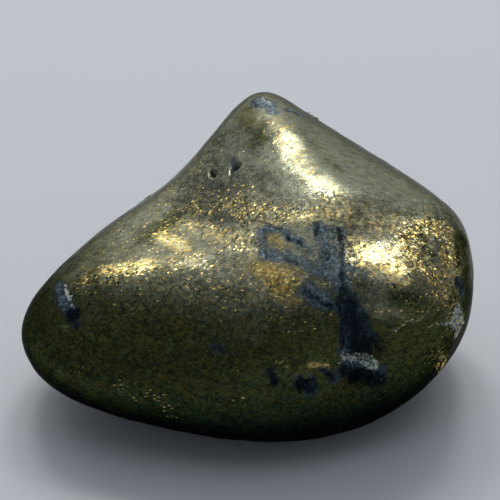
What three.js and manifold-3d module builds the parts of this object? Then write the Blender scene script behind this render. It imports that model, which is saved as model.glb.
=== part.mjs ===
// A tumbled chalcopyrite stone, in millimetres, with +Z up and +X to the right as seen from the front (-Y).
// It is one solid: a pebble whose broken faces were worn round, with a ridge that leans from the summit
// towards the front, a low shoulder on the left, a boss on the right, and a small flat spot to rest on.
import * as THREE from "three";
import { mergeVertices } from "three/addons/utils/BufferGeometryUtils.js";
import Module from "manifold-3d";

// The pebble is modelled around this point, and the worn faces' distances are measured from it.
const CENTRE = new THREE.Vector3(0, -1, 8.5);
const FLOOR_HEIGHT = 0; // the flat spot under the stone
const SPHERE_DETAIL = 18; // each of the icosahedron's edges is cut into one more piece than this
const BLOB_DETAIL = 2; // the same for the small blobs that pits and crusts are made with
const REACH = 40; // farther from the centre than any point of the stone
const SOLVER_STEPS = 34; // halvings that find where a ray leaves the stone
const MERGE_DISTANCE = 1e-4;

// Bronze-yellow metal, dulled by an olive tarnish.
const STONE_FINISH = { color: 0x6e6436, roughness: 0.36, metalness: 0.85 };

// The planes that the stone was worn along. Azimuth 0 is +X and 90 is +Y, the back. Where planes meet,
// the edge is round: its radius is about 1.4 mm over the hardness.
const WORN_FACES = [
  { name: "upper left slope", azimuth: 212, elevation: 66, distance: 7.8, hardness: 1.1 },
  { name: "upper right slope", azimuth: 20, elevation: 70, distance: 11.4, hardness: 1.6 },
  { name: "front left, upper", azimuth: 256, elevation: 46, distance: 9.0, hardness: 0.7 },
  { name: "front left", azimuth: 262, elevation: 12, distance: 11.6, hardness: 0.7 },
  { name: "front right, upper", azimuth: 300, elevation: 54, distance: 11.7, hardness: 0.9 },
  { name: "front right", azimuth: 292, elevation: 8, distance: 11.6, hardness: 0.8 },
  { name: "back left, upper", azimuth: 145, elevation: 36, distance: 10.4, hardness: 1.0 },
  { name: "back left", azimuth: 125, elevation: 12, distance: 11.8, hardness: 0.8 },
  { name: "back right, upper", azimuth: 42, elevation: 42, distance: 13.4, hardness: 1.0 },
  { name: "back right", azimuth: 58, elevation: 10, distance: 12.6, hardness: 0.8 },
  { name: "left end", azimuth: 180, elevation: 2, distance: 17.5, hardness: 0.6 },
  { name: "left end, front", azimuth: 212, elevation: -22, distance: 18.5, hardness: 0.5 },
  { name: "left end, under", azimuth: 215, elevation: -50, distance: 16.2, hardness: 0.6 },
  { name: "right end", azimuth: 5, elevation: 6, distance: 16.3, hardness: 0.9 },
  { name: "right end, front", azimuth: 335, elevation: -15, distance: 15.8, hardness: 0.8 },
  { name: "right end, under", azimuth: 325, elevation: -42, distance: 15.9, hardness: 0.7 },
  { name: "front, under left", azimuth: 250, elevation: -50, distance: 12.2, hardness: 0.6 },
  { name: "front, under right", azimuth: 290, elevation: -50, distance: 13.9, hardness: 0.6 },
  { name: "back, under left", azimuth: 130, elevation: -40, distance: 12.4, hardness: 0.6 },
  { name: "back, under right", azimuth: 60, elevation: -40, distance: 12.8, hardness: 0.6 },
  { name: "underside", azimuth: 270, elevation: -90, distance: 9.4, hardness: 0.45 },
];

// Soft swells (height over 0) and hollows (height under 0) along the ray from the centre. Each fades
// like a bell curve whose widths along X, Y and Z are given as size.
const SWELLS = [
  { name: "hollow in the upper left slope", at: [-5.5, 3.8, 14.0], size: [4.5, 4.5, 4.0], height: -0.7 },
  { name: "summit", at: [0.2, 8.2, 18.0], size: [3.0, 3.2, 3.2], height: 0.85 },
  { name: "crest below the summit", at: [2.6, 4.4, 18.4], size: [1.6, 2.6, 2.0], height: 0.24 },
  { name: "flank left of the crest", at: [-0.4, 4.6, 17.8], size: [1.8, 2.6, 2.0], height: -0.22 },
  { name: "neck of the crest", at: [3.1, 1.6, 18.1], size: [1.3, 1.0, 1.2], height: -0.06 },
  { name: "left shoulder", at: [-10.6, -4.8, 11.8], size: [4.8, 2.4, 2.8], height: 1.1 },
  { name: "hollow above the shoulder", at: [-4.0, -1.6, 14.8], size: [4.5, 3.0, 3.0], height: -0.5 },
  { name: "shelf in front of the shoulder", at: [-4.0, -6.2, 13.6], size: [5.0, 1.8, 2.2], height: 0.32 },
  { name: "boss on the right", at: [10.0, -8.3, 13.4], size: [2.9, 2.5, 2.5], height: 1.7 },
  { name: "dip behind the boss", at: [9.1, -4.8, 16.2], size: [3.1, 2.2, 2.1], height: -0.9 },
  { name: "front groove, upper", at: [6.6, -7.4, 15.0], size: [1.6, 2.4, 2.6], height: -0.5 },
  { name: "front groove, middle", at: [7.4, -9.6, 11.5], size: [1.8, 2.4, 2.8], height: -0.7 },
  { name: "front groove, lower", at: [8.2, -10.6, 8.4], size: [2.0, 2.4, 2.4], height: -0.6 },
  { name: "right front lobe", at: [13.0, -7.0, 10.0], size: [3.0, 3.0, 3.0], height: 0.4 },
  { name: "belly", at: [2.5, -9.8, 11.0], size: [4.0, 3.0, 3.0], height: 0.3 },
  { name: "hollow in the back", at: [-3.0, 10.5, 8.5], size: [5.0, 3.0, 4.0], height: -0.5 },
  { name: "swell on the back right", at: [8.5, 10.0, 10.5], size: [3.5, 3.0, 3.0], height: 0.4 },
  { name: "swell on the back left", at: [-11.5, 5.0, 7.0], size: [4.0, 3.5, 3.0], height: 0.4 },
  { name: "rise under the right lobe", at: [12.0, -1.0, 1.0], size: [5.0, 8.0, 2.5], height: -1.0 },
  { name: "rise under the left lobe", at: [-10.0, -1.0, 0.5], size: [5.0, 7.0, 2.5], height: -0.6 },
];

// Small blobs, half sunk in the surface: crusts are joined to the stone and pits are cut out of it.
// Azimuth and elevation are the way the surface faces there, and tilt turns the blob in the surface.
const CRUSTS = [
  { name: "pale crust over the cavity", at: [7.7, -9.4, 8.5], azimuth: 284, elevation: 14, tilt: 8,
    size: [1.2, 0.6, 0.45] },
  { name: "crust on the right end", at: [14.9, -6.3, 10.0], azimuth: 325, elevation: 0, tilt: 80,
    size: [0.9, 0.45, 0.3] },
];
const PITS = [
  { name: "cavity under the crust", at: [7.9, -9.8, 7.3], azimuth: 288, elevation: 17, tilt: 6,
    size: [1.2, 0.55, 0.6] },
  { name: "pit on the left end", at: [-12.6, -6.9, 10.3], azimuth: 235, elevation: 45, tilt: 75,
    size: [0.9, 0.4, 0.5] },
  { name: "round pit in the left slope", at: [-2.6, 1.9, 16.2], azimuth: 204, elevation: 58, tilt: 60,
    size: [0.4, 0.3, 0.35] },
  { name: "long pit in the left slope", at: [-1.1, 1.7, 17.0], azimuth: 210, elevation: 62, tilt: 100,
    size: [0.5, 0.25, 0.3] },
  { name: "pit low on the front", at: [3.7, -11.5, 8.0], azimuth: 282, elevation: 8, tilt: 20,
    size: [0.6, 0.4, 0.4] },
  { name: "pit on the back", at: [4.2, 11.0, 5.9], azimuth: 80, elevation: -5, tilt: 30,
    size: [0.9, 0.5, 0.5] },
];

const wasm = await Module();
wasm.setup();

// The unit vector that points along an azimuth and an elevation, in degrees.
function direction(azimuth, elevation) {
  const a = THREE.MathUtils.degToRad(azimuth);
  const e = THREE.MathUtils.degToRad(elevation);
  return new THREE.Vector3(Math.cos(a) * Math.cos(e), Math.sin(a) * Math.cos(e), Math.sin(e));
}

const wornPlanes = WORN_FACES.map((face) => ({
  normal: direction(face.azimuth, face.elevation),
  distance: face.distance,
  hardness: face.hardness,
}));

// Over 1 outside the worn faces and under 1 inside. Each plane adds a steep exponential, so the
// surface, where the sum is 1, follows the nearest plane and rounds the edges between planes.
function wear(ray, radius) {
  let sum = 0;
  for (const plane of wornPlanes) {
    sum += Math.exp(plane.hardness * (plane.normal.dot(ray) * radius - plane.distance));
  }
  return sum;
}

// How far from the centre the worn faces lie along a ray.
function wornRadius(ray) {
  let inside = 0;
  let outside = REACH;
  for (let step = 0; step < SOLVER_STEPS; step++) {
    const middle = (inside + outside) / 2;
    if (wear(ray, middle) > 1) {
      outside = middle;
    } else {
      inside = middle;
    }
  }
  return (inside + outside) / 2;
}

// How much the swells and hollows add to the radius at a point of the worn faces.
function swellAt(point) {
  let height = 0;
  for (const swell of SWELLS) {
    const [x, y, z] = swell.at;
    const [wide, deep, tall] = swell.size;
    const offset = ((point.x - x) / wide) ** 2 + ((point.y - y) / deep) ** 2 + ((point.z - z) / tall) ** 2;
    height += swell.height * Math.exp(-offset);
  }
  return height;
}

// The point where a ray from the centre leaves the stone.
function surfacePoint(ray) {
  const point = ray.clone().multiplyScalar(wornRadius(ray)).add(CENTRE);
  return point.addScaledVector(ray, swellAt(point));
}

// A sphere of nearly equal triangles, closed, with positions only.
function closedSphere(radius, detail) {
  const sphere = new THREE.IcosahedronGeometry(radius, detail);
  sphere.deleteAttribute("normal");
  sphere.deleteAttribute("uv");
  return mergeVertices(sphere, MERGE_DISTANCE);
}

function pebbleGeometry() {
  const pebble = closedSphere(1, SPHERE_DETAIL);
  const position = pebble.attributes.position;
  const ray = new THREE.Vector3();
  for (let i = 0; i < position.count; i++) {
    const point = surfacePoint(ray.fromBufferAttribute(position, i).normalize());
    position.setXYZ(i, point.x, point.y, point.z);
  }
  return pebble;
}

// A small ellipsoid: its first size lies along the surface, its last points out of it.
function blobGeometry({ at, azimuth, elevation, tilt, size }) {
  const out = direction(azimuth, elevation);
  const level = new THREE.Vector3(0, 0, 1).cross(out).normalize();
  const up = out.clone().cross(level);
  const place = new THREE.Matrix4().makeBasis(level, up, out).setPosition(...at);
  return closedSphere(1, BLOB_DETAIL)
    .scale(...size)
    .rotateZ(THREE.MathUtils.degToRad(tilt))
    .applyMatrix4(place);
}

// Everything below the floor, as a block that is cut away to leave the flat spot.
function groundGeometry() {
  const side = 2 * REACH;
  const ground = new THREE.BoxGeometry(side, side, side).translate(0, 0, FLOOR_HEIGHT - REACH);
  ground.deleteAttribute("normal");
  ground.deleteAttribute("uv");
  return mergeVertices(ground, MERGE_DISTANCE);
}

function solidOf(geometry) {
  return new wasm.Manifold(
    new wasm.Mesh({
      numProp: 3,
      vertProperties: geometry.attributes.position.array,
      triVerts: new Uint32Array(geometry.index.array),
    }),
  );
}

function geometryOf(solid) {
  const mesh = solid.getMesh();
  return new THREE.BufferGeometry()
    .setAttribute("position", new THREE.BufferAttribute(mesh.vertProperties, mesh.numProp))
    .setIndex(new THREE.BufferAttribute(mesh.triVerts, 1));
}

function stoneSolid() {
  let stone = solidOf(pebbleGeometry());
  for (const crust of CRUSTS) {
    stone = stone.add(solidOf(blobGeometry(crust)));
  }
  for (const pit of PITS) {
    stone = stone.subtract(solidOf(blobGeometry(pit)));
  }
  return stone.subtract(solidOf(groundGeometry()));
}

// Puts the origin under the middle of the stone's box, on the floor.
function centredOnFloor(geometry) {
  geometry.computeBoundingBox();
  const middle = geometry.boundingBox.getCenter(new THREE.Vector3());
  return geometry.translate(-middle.x, -middle.y, -geometry.boundingBox.min.z);
}

function tumbledStone() {
  const geometry = centredOnFloor(geometryOf(stoneSolid()));
  geometry.computeVertexNormals();
  const mesh = new THREE.Mesh(geometry, new THREE.MeshStandardMaterial(STONE_FINISH));
  mesh.name = "tumbled_stone";
  return mesh;
}

const specimen = new THREE.Group();
specimen.name = "chalcopyrite_specimen";
specimen.add(tumbledStone());

export default specimen;
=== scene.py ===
"""A tumbled chalcopyrite stone: a worn metallic pebble with a leaning ridge, seen from the front and above.

The stone's form is solved from a few worn planes and swells, given in millimetres. Its markings are
placed by reading the photograph's 500 by 500 frame and casting each point onto the stone.
"""

import math

import bpy
import numpy as np
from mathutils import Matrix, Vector, noise
from mathutils.bvhtree import BVHTree


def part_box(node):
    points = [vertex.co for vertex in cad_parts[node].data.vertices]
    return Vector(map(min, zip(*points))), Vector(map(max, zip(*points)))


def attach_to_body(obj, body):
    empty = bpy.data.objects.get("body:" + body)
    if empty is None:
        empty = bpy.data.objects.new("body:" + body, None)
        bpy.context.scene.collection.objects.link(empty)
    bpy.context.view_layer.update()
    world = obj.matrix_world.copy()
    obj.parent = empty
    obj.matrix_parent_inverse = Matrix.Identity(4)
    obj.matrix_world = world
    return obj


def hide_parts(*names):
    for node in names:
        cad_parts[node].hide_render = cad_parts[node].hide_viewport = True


bl_info = {
    "name": "Tumbled Chalcopyrite Stone",
    "version": (1, 0, 0),
    "blender": (4, 5, 0),
    "location": "View3D > Sidebar > Stone",
    "description": "Builds a worn chalcopyrite pebble with its grains, crusts, floor, lights and camera",
    "category": "Object",
}

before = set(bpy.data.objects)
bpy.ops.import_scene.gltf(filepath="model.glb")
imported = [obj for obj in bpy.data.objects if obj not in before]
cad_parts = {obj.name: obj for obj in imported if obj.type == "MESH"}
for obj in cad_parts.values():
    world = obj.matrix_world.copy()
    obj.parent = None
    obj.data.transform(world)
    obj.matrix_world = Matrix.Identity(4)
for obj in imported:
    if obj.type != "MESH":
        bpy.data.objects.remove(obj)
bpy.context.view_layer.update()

NODE = "tumbled_stone"
BODY = "root"
MM = 0.001

# The pebble is modelled in millimetres around this point, from which the planes' distances count.
CENTRE = np.array([0.0, -1.0, 8.5])
REACH = 40.0
SOLVER_STEPS = 34
GRID = 128  # squares along each side of the cube that is blown up into the pebble
MERGE_DIGITS = 6  # decimals to which two points are the same where the cube's sides meet
SHORTEST = 1e-9  # the least square length of a piece of line

# The planes that the stone was worn along: azimuth (0 is +X, 90 is +Y, the back), elevation,
# distance in millimetres, and hardness, which sets how sharp the edges beside it are.
WORN_FACES = {
    "upper left slope": (212, 66, 7.8, 1.1),
    "upper right slope": (20, 70, 11.4, 1.6),
    "front left, upper": (256, 46, 9.0, 0.7),
    "front left": (262, 12, 11.6, 0.7),
    "front right, upper": (300, 54, 11.7, 0.9),
    "front right": (292, 8, 11.6, 0.8),
    "back left, upper": (145, 36, 10.4, 1.0),
    "back left": (125, 12, 11.8, 0.8),
    "back right, upper": (42, 42, 13.4, 1.0),
    "back right": (58, 10, 12.6, 0.8),
    "left end": (180, 2, 17.5, 0.6),
    "left end, front": (212, -22, 18.5, 0.5),
    "left end, under": (215, -50, 16.2, 0.6),
    "right end": (5, 6, 16.3, 0.9),
    "right end, front": (335, -15, 15.8, 0.8),
    "right end, under": (325, -42, 15.9, 0.7),
    "front, under left": (250, -50, 12.2, 0.6),
    "front, under right": (290, -50, 13.9, 0.6),
    "back, under left": (130, -40, 12.4, 0.6),
    "back, under right": (60, -40, 12.8, 0.6),
    "underside": (270, -90, 9.4, 0.45),
}

# Soft swells and hollows: the middle, the widths along X, Y and Z, and the height in millimetres.
SWELLS = {
    "hollow in the upper left slope": ((-5.5, 3.8, 14.0), (4.5, 4.5, 4.0), -0.7),
    "summit": ((0.2, 8.2, 18.0), (3.0, 3.2, 3.2), 0.85),
    "crest below the summit": ((2.6, 4.4, 18.4), (1.6, 2.6, 2.0), 0.24),
    "flank left of the crest": ((-0.4, 4.6, 17.8), (1.8, 2.6, 2.0), -0.22),
    "neck of the crest": ((3.1, 1.6, 18.1), (1.3, 1.0, 1.2), -0.06),
    "left shoulder": ((-10.6, -4.8, 11.8), (4.8, 2.4, 2.8), 1.1),
    "hollow above the shoulder": ((-4.0, -1.6, 14.8), (4.5, 3.0, 3.0), -0.5),
    "shelf in front of the shoulder": ((-4.0, -6.2, 13.6), (5.0, 1.8, 2.2), 0.32),
    "boss on the right": ((10.0, -8.3, 13.4), (2.9, 2.5, 2.5), 1.7),
    "dip behind the boss": ((9.1, -4.8, 16.2), (3.1, 2.2, 2.1), -0.9),
    "front groove, upper": ((6.6, -7.4, 15.0), (1.6, 2.4, 2.6), -0.5),
    "front groove, middle": ((7.4, -9.6, 11.5), (1.8, 2.4, 2.8), -0.7),
    "front groove, lower": ((8.2, -10.6, 8.4), (2.0, 2.4, 2.4), -0.6),
    "right front lobe": ((13.0, -7.0, 10.0), (3.0, 3.0, 3.0), 0.4),
    "belly": ((2.5, -9.8, 11.0), (4.0, 3.0, 3.0), 0.3),
    "hollow in the back": ((-3.0, 10.5, 8.5), (5.0, 3.0, 4.0), -0.5),
    "swell on the back right": ((8.5, 10.0, 10.5), (3.5, 3.0, 3.0), 0.4),
    "swell on the back left": ((-11.5, 5.0, 7.0), (4.0, 3.5, 3.0), 0.4),
    "rise under the right lobe": ((12.0, -1.0, 1.0), (5.0, 8.0, 2.5), -1.0),
    "rise under the left lobe": ((-10.0, -1.0, 0.5), (5.0, 7.0, 2.5), -0.6),
}

# The camera of the photograph, in the same millimetres.
PHOTO_PIXELS = 500
PHOTO_MM_PER_PIXEL = 0.0761
CAMERA_ELEVATION = 38.0
CAMERA_DISTANCE = 300.0
CAMERA_TARGET = np.array([0.0, 14.0, 0.0])
SENSOR_WIDTH = 36.0
CLIP = (0.01, 20.0)  # the nearest and the farthest that it sees, in metres

# Markings read in the photograph: each stroke is a line of its pixels, a half width in millimetres and
# a strength.
STROKES = {
    "inclusion": [
        ([(261, 232), (268, 229), (277, 230)], 0.30, 1.0),
        ([(277, 230), (286, 232)], 0.20, 0.8),
        ([(286, 234), (293, 238), (302, 243)], 0.32, 1.0),
        ([(264, 238), (263, 247), (267, 254)], 0.22, 0.9),
        ([(266, 254), (277, 257), (288, 256)], 0.44, 1.0),
        ([(288, 256), (300, 261), (309, 267)], 0.36, 0.9),
        ([(309, 267), (318, 272), (328, 276)], 0.42, 0.8),
        ([(317, 224), (320, 232)], 0.26, 1.0),
        ([(320, 230), (330, 231), (341, 232)], 0.28, 1.0),
        ([(324, 236), (327, 250), (331, 264)], 0.50, 0.9),
        ([(334, 238), (336, 254), (338, 268)], 0.42, 0.9),
        ([(342, 232), (342, 252), (343, 276)], 0.26, 0.9),
        ([(326, 268), (334, 278), (341, 290)], 0.46, 0.9),
        ([(305, 290), (315, 296), (325, 302)], 0.60, 1.0),
        ([(325, 302), (335, 307)], 0.40, 0.8),
        ([(344, 284), (346, 305), (347, 330), (346, 350)], 0.55, 0.9),
        ([(352, 300), (360, 318), (368, 336)], 0.50, 0.9),
        ([(268, 370), (273, 377)], 0.34, 0.6),
        ([(298, 379), (304, 386), (311, 392)], 0.42, 0.7),
        ([(311, 378), (316, 385)], 0.26, 0.6),
        ([(322, 370), (330, 374), (336, 379)], 0.36, 0.6),
        ([(257, 101), (264, 103), (270, 107)], 0.40, 1.0),
        ([(270, 107), (275, 113)], 0.26, 1.0),
        ([(287, 109), (299, 114)], 0.26, 0.9),
        ([(58, 285), (61, 296)], 0.34, 1.0),
        ([(62, 298), (67, 309)], 0.46, 1.0),
        ([(70, 312), (75, 324)], 0.36, 0.9),
        ([(212, 346), (226, 354)], 0.34, 0.45),
        ([(459, 281), (462, 292)], 0.34, 0.9),
        ([(232, 161), (235, 172)], 0.18, 0.8),
        ([(345, 362), (362, 370), (380, 374)], 0.45, 0.9),
        ([(346, 266), (356, 271), (366, 275)], 0.30, 0.6),
        ([(262, 240), (290, 250), (325, 262), (345, 250)], 1.30, 0.30),
    ],
    "dark": [
        ([(342, 272), (344, 292)], 0.26, 0.8),
        ([(344, 290), (348, 308)], 0.45, 0.9),
        ([(348, 304), (354, 326)], 0.85, 1.0),
        ([(354, 322), (361, 344)], 1.15, 1.0),
        ([(372, 338), (378, 348)], 0.60, 0.8),
        ([(341, 300), (342, 348)], 0.26, 0.9),
        ([(345, 369), (360, 375), (378, 380)], 0.56, 1.0),
        ([(305, 292), (313, 296)], 0.36, 0.75),
        ([(318, 300), (332, 306)], 0.28, 0.8),
        ([(263, 231), (266, 236)], 0.18, 0.9),
        ([(274, 228), (279, 230)], 0.16, 0.8),
        ([(287, 236), (291, 239)], 0.20, 0.9),
        ([(297, 242), (301, 245)], 0.18, 0.9),
        ([(265, 248), (268, 258)], 0.16, 0.8),
        ([(278, 259), (298, 264)], 0.16, 0.7),
        ([(316, 224), (319, 233)], 0.20, 0.9),
        ([(326, 229), (333, 231)], 0.14, 0.8),
        ([(339, 230), (342, 242)], 0.19, 0.9),
        ([(342, 242), (342, 264)], 0.18, 0.7),
        ([(326, 252), (329, 260)], 0.16, 0.6),
        ([(269, 370), (273, 377), (275, 382)], 0.34, 1.0),
        ([(300, 380), (306, 388), (311, 392)], 0.36, 1.0),
        ([(296, 386), (300, 392)], 0.20, 0.9),
        ([(312, 379), (316, 386)], 0.20, 0.9),
        ([(323, 370), (334, 378)], 0.30, 0.95),
        ([(352, 366), (372, 372)], 0.22, 0.9),
        ([(253, 99), (258, 108)], 0.12, 0.8),
        ([(286, 109), (299, 115)], 0.16, 0.7),
        ([(68, 314), (73, 319), (76, 325)], 0.34, 1.0),
        ([(457, 280), (462, 291)], 0.26, 0.9),
        ([(212, 172), (211, 176)], 0.20, 1.0),
        ([(232, 161), (235, 171)], 0.14, 0.7),
        ([(236, 176), (237, 178)], 0.11, 0.9),
        ([(214, 347), (225, 353)], 0.24, 0.7),
        ([(420, 233), (426, 240)], 0.30, 0.7),
    ],
    "crust": [
        ([(343, 356), (351, 357)], 0.22, 1.0),
        ([(360, 357), (366, 360), (373, 365)], 0.38, 1.0),
        ([(352, 358), (360, 361)], 0.12, 0.8),
        ([(328, 365), (340, 361)], 0.07, 0.8),
        ([(457, 309), (455, 319), (458, 331)], 0.44, 0.9),
        ([(399, 327), (408, 321), (413, 320)], 0.09, 0.75),
        ([(428, 327), (436, 322), (446, 325), (452, 322)], 0.12, 0.75),
        ([(65, 286), (67, 291), (68, 297)], 0.17, 0.75),
        ([(69, 300), (71, 305)], 0.11, 0.8),
        ([(379, 370), (381, 379)], 0.08, 0.9),
        ([(260, 99), (266, 102), (271, 107)], 0.12, 0.9),
    ],
    "rust": [
        ([(262, 268), (275, 280), (292, 292)], 0.90, 1.0),
        ([(250, 268), (300, 272)], 0.50, 0.8),
        ([(240, 112), (246, 114), (252, 122)], 0.80, 0.35),
        ([(272, 240), (284, 247)], 0.50, 1.0),
        ([(262, 330), (320, 340)], 1.30, 0.25),
        ([(309, 365), (318, 364), (327, 367)], 0.20, 1.0),
        ([(68, 306), (70, 307)], 0.15, 1.0),
    ],
    # Mostly painted shade, over spots where the lamps or the floor mirror too brightly, in a crease and a
    # crevice, along the right edge and low on the front; a few darken the metal's own olive.
    "tarnish": [
        ([(392, 212), (410, 217), (440, 224)], 0.55, 0.65),
        ([(246, 112), (252, 124), (260, 140)], 0.90, 0.75),
        ([(302, 132), (318, 150), (336, 168)], 0.70, 0.5),
        ([(396, 300), (420, 306), (445, 312)], 1.20, 0.9),
        ([(462, 240), (465, 280), (463, 320), (454, 350)], 0.80, 1.1),
        ([(150, 234), (182, 214)], 1.20, 0.75),
        ([(255, 316), (290, 322), (325, 330)], 1.50, 0.9),
        ([(417, 237), (424, 246), (432, 256)], 0.50, 0.7),
        ([(404, 236), (408, 250), (412, 262)], 0.22, 0.8),
        ([(455, 236), (458, 250), (458, 266)], 0.30, 1.0),
        ([(300, 214), (330, 218)], 0.50, 0.4),
        ([(78, 319), (100, 314), (134, 307)], 0.14, 0.9),
    ],
    "coarse": [
        ([(407, 240), (414, 229), (430, 223), (445, 230)], 0.60, 1.0),
        ([(445, 232), (450, 250), (449, 270), (441, 288)], 0.75, 1.0),
        ([(408, 250), (420, 262), (434, 276)], 0.70, 1.0),
        ([(418, 238), (430, 258)], 0.60, 0.6),
        ([(435, 353), (443, 366)], 0.60, 0.9),
        ([(452, 305), (456, 330)], 0.60, 0.9),
        ([(340, 232), (350, 262)], 0.50, 0.4),
    ],
    # Partly the stone's sparkling grain, partly painted highlight and glints: brighter amber metal and more
    # gold specks where the highlights and glints fall.
    "glitter": [
        ([(88, 280), (120, 272), (150, 265), (192, 258)], 0.90, 0.65),
        ([(106, 272), (128, 268), (150, 264)], 0.55, 1.6),
        ([(160, 236), (172, 240), (184, 247)], 0.60, 1.4),
        ([(180, 225), (215, 232), (255, 246)], 0.90, 0.7),
        ([(230, 205), (262, 215), (300, 216), (345, 214)], 0.80, 0.8),
        ([(345, 245), (368, 256), (392, 262), (404, 272)], 1.20, 1.2),
        ([(408, 238), (430, 226), (446, 236), (450, 262), (444, 288)], 0.70, 1.2),
        ([(408, 250), (420, 262), (434, 276)], 0.60, 1.2),
        ([(453, 240), (454, 256), (453, 274)], 0.10, 1.4),
        ([(256, 270), (275, 278), (296, 284)], 0.55, 0.7),
        ([(310, 365), (327, 367)], 0.14, 1.0),
        ([(281, 364), (288, 366)], 0.16, 1.0),
        ([(399, 327), (410, 321), (424, 317)], 0.13, 1.2),
        ([(428, 327), (438, 322), (452, 324)], 0.16, 1.0),
        ([(434, 356), (445, 366)], 0.40, 1.0),
        ([(410, 376), (426, 371)], 0.08, 1.0),
        ([(118, 384), (150, 396), (172, 410)], 0.45, 0.5),
        ([(75, 368), (95, 374)], 0.16, 0.8),
        ([(120, 309), (140, 307)], 0.22, 0.8),
        ([(276, 120), (292, 150), (315, 180), (342, 205)], 0.80, 0.55),
        ([(345, 212), (368, 220), (398, 226)], 1.00, 0.7),
        ([(198, 204), (215, 206), (240, 200)], 1.20, 0.5),
    ],
}

# On the sides that the photograph doesn't show, markings follow a noise instead: its width in
# millimetres, the values where a marking starts and where it is full, and its strength.
HIDDEN_PATCHES = {
    "glitter": (4.5, 0.10, 0.55, 0.9),
    "coarse": (3.4, 0.42, 0.66, 1.0),
    "rust": (5.0, 0.20, 0.60, 0.4),
    "tarnish": (5.5, 0.15, 0.60, 0.6),
    "crust": (2.2, 0.70, 0.80, 1.0),
}
# Veins run where a noise crosses zero: its width, the veins' half width in it, and their strength. They
# lie in patches of a wider noise.
HIDDEN_VEINS = {"inclusion": (3.8, 0.17, 0.9), "dark": (3.8, 0.05, 0.8)}
VEIN_PATCHES = (6.5, 0.22, 0.48)
NOISE_OCTAVES = 4
NOISE_SHIFT = 40.0
FRACTAL_STEP = (1.0, 2.0)  # how fast the noise's octaves fade, and how fast they narrow

# How far, in millimetres, the markings' edges wander, and over what distance.
WARP_REACH = 0.22
WARP_WIDTH = 0.8
WARP_OCTAVES = 3
WARP_SEED = 2  # without one, this noise starts from the clock

# Small pits and crusts that are part of the relief: the middle, the way the surface faces there, the
# turn in the surface, and the half sizes along it, across it and out of it, all as in the solid.
PITS = {
    "cavity under the crust": ((7.9, -9.8, 7.3), (288, 17), 6, (1.2, 0.55, 0.6)),
    "pit on the left end": ((-12.6, -6.9, 10.3), (235, 45), 75, (0.9, 0.4, 0.5)),
    "round pit in the left slope": ((-2.6, 1.9, 16.2), (204, 58), 60, (0.4, 0.3, 0.35)),
    "long pit in the left slope": ((-1.1, 1.7, 17.0), (210, 62), 100, (0.5, 0.25, 0.3)),
    "pit low on the front": ((3.7, -11.5, 8.0), (282, 8), 20, (0.6, 0.4, 0.4)),
    "pit on the back": ((4.2, 11.0, 5.9), (80, -5), 30, (0.9, 0.5, 0.5)),
}
CRUSTS = {
    "pale crust over the cavity": ((7.7, -9.4, 8.5), (284, 14), 8, (1.2, 0.6, 0.45)),
    "crust on the right end": ((14.9, -6.3, 10.0), (325, 0), 80, (0.9, 0.45, 0.3)),
}
BLOB_REACH = 3  # how far a blob reaches to both sides of the surface, in its own heights
CRUST_SHARE = 0.8  # how much of a crust's height stands above the form
# How deep a dark marking lies and how high a crusty one stands, in millimetres.
DARK_DEPTH = 0.03
CRUST_HEIGHT = 0.07

# The depths of a pit between which it darkens, as shares of its full depth, and the darkening's
# strength.
PIT_FADE = (0.2, 0.8)
PIT_DARKENING = 0.9
# How far a ray points towards the camera where the hidden markings are still full, and where they end.
HIDDEN_FADE = (-0.25, 0.05)

# Heights in millimetres between which a marking comes in or goes out. Below the first ones the relief
# fades away, so that nothing sinks into the floor. The low ones paint shade: the metal is darkened
# towards the bottom, and this painted shade climbs towards the front, where its slope is its fall for
# each millimetre back.
FREE_FADE = (0.1, 1.2)
LOW_FADE = (2.0, 11.0)
PAINTED_SHADE_FADE = (7.0, 15.5)
PAINTED_SHADE_SLOPE = 0.25
PATINA_AND_SHADE_SHARE = 0.9
# Painted highlight: more sparkle, as brighter amber metal, in a band of heights where the highlights fall.
BAND_FADE_IN = (11.0, 13.5)
BAND_FADE_OUT = (15.0, 17.5)
BAND_HIGHLIGHT = 0.25


def length_property(name, description, default, least):
    """A length, of which the default and the least are given in millimetres."""
    return bpy.props.FloatProperty(
        name=name, description=description, default=default * MM, min=least * MM, unit="LENGTH"
    )


def amount_property(name, description, default, unit="NONE"):
    return bpy.props.FloatProperty(name=name, description=description, default=default, min=0, unit=unit)


def colour_property(name, description, default):
    return bpy.props.FloatVectorProperty(
        name=name, description=description, default=default, size=3, min=0, max=1, subtype="COLOR"
    )


class StoneSizes(bpy.types.PropertyGroup):
    """Sizes of the stone's relief and grains."""

    ripple_height: length_property("Ripple height", "Height of the ripples that tumbling leaves", 0.09, 0)
    ripple_width: length_property("Ripple width", "Distance between the soft ripples", 2.6, 0.1)
    coarse_height: length_property("Coarse height", "Height of the unpolished patches' bumps", 0.28, 0)
    coarse_width: length_property("Coarse width", "Distance between those bumps", 0.75, 0.05)
    grain_size: length_property("Grain size", "Width of the largest metallic grains", 0.34, 0.02)
    grains_per_mm2: amount_property("Grains per square millimetre", "On the unpolished patches", 9.0)
    crumb_size: length_property("Crumb size", "Width of the largest crumbs of pale crust", 0.28, 0.02)
    crumbs_per_mm2: amount_property("Crumbs per square millimetre", "On the pale crusts", 20.0)
    seed: bpy.props.IntProperty(name="Seed", description="Start of the grains' and crumbs' draws", default=7)


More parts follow.
